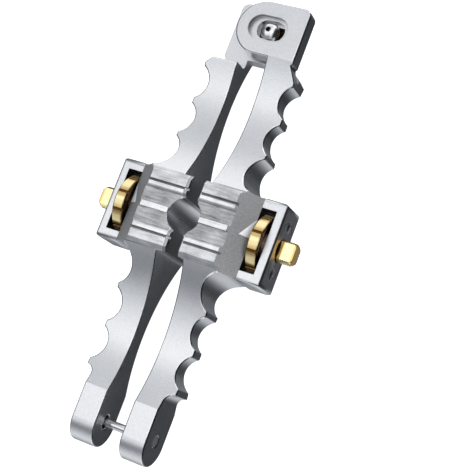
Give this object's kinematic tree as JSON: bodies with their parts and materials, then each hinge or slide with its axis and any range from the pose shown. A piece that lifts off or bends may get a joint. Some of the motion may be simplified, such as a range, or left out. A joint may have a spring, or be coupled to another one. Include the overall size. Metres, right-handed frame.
{
  "type": "longitudinal cable stripper",
  "caption": "Hand tool with two hinged aluminium grips that close on a round cable and slit its jacket with blades fed by brass wheels.",
  "frame": {"origin": "centre of the cable channel, halfway through the blocks", "axes": "+X from the left arm to the right arm, +Y along the tool to the hinge, +Z along the cable, out of the face with the hinge screw's head"},
  "size_m": [0.095, 0.2059, 0.033],
  "materials": {
    "arm": "satin",
    "brass": "polished",
    "bronze": "machined",
    "steel": "polished",
    "blade": "ground"
  },
  "bodies": {
    "left_arm": {"left_arm": "arm", "hinge_screw": "steel", "hinge_nut": "steel", "friction_washer": "bronze", "left_inner_washer": "steel", "left_outer_washer": "steel", "left_detent_balls": "steel", "left_detent_springs": "steel", "left_detent_screws": "steel"},
    "slide_bush": {"slide_bush": "bronze"},
    "right_arm": {"right_arm": "arm", "guide_pin": "steel", "guide_pin_lock": "steel", "right_inner_washer": "steel", "right_outer_washer": "steel", "right_detent_balls": "steel", "right_detent_springs": "steel", "right_detent_screws": "steel"},
    "left_wheel": {"left_wheel": "brass"},
    "left_carrier": {"left_carrier": "brass", "left_blade": "blade", "left_blade_screw": "steel"},
    "right_wheel": {"right_wheel": "brass"},
    "right_carrier": {"right_carrier": "brass", "right_blade": "blade", "right_blade_screw": "steel"}
  },
  "joints": [
    {"name": "arm_swing", "type": "hinge", "parent": "left_arm", "child": "slide_bush", "pos_m": [0.0023, 0.09, 0], "axis": [0, 0, 1], "range_deg": [0, 70]},
    {"name": "arm_slide", "type": "slide", "parent": "slide_bush", "child": "right_arm", "axis": [1, 0, 0], "range_m": [-0.0029, 0.0011]},
    {"name": "left_wheel_turn", "type": "hinge", "parent": "left_arm", "child": "left_wheel", "pos_m": [-0.0325, 0, 0], "axis": [-1, 0, 0], "range_deg": [0, 1440]},
    {"name": "left_blade_feed", "type": "slide", "parent": "left_arm", "child": "left_carrier", "axis": [1, 0, 0], "range_m": [0, 0.004]},
    {"name": "right_wheel_turn", "type": "hinge", "parent": "right_arm", "child": "right_wheel", "pos_m": [0.0325, 0, 0], "axis": [1, 0, 0], "range_deg": [0, 1440]},
    {"name": "right_blade_feed", "type": "slide", "parent": "right_arm", "child": "right_carrier", "axis": [-1, 0, 0], "range_m": [0, 0.004]}
  ],
  "couplings": [
    {"joint": "left_wheel_turn", "follows": "left_blade_feed", "rad_per_m": 6283},
    {"joint": "right_wheel_turn", "follows": "right_blade_feed", "rad_per_m": 6283}
  ]
}
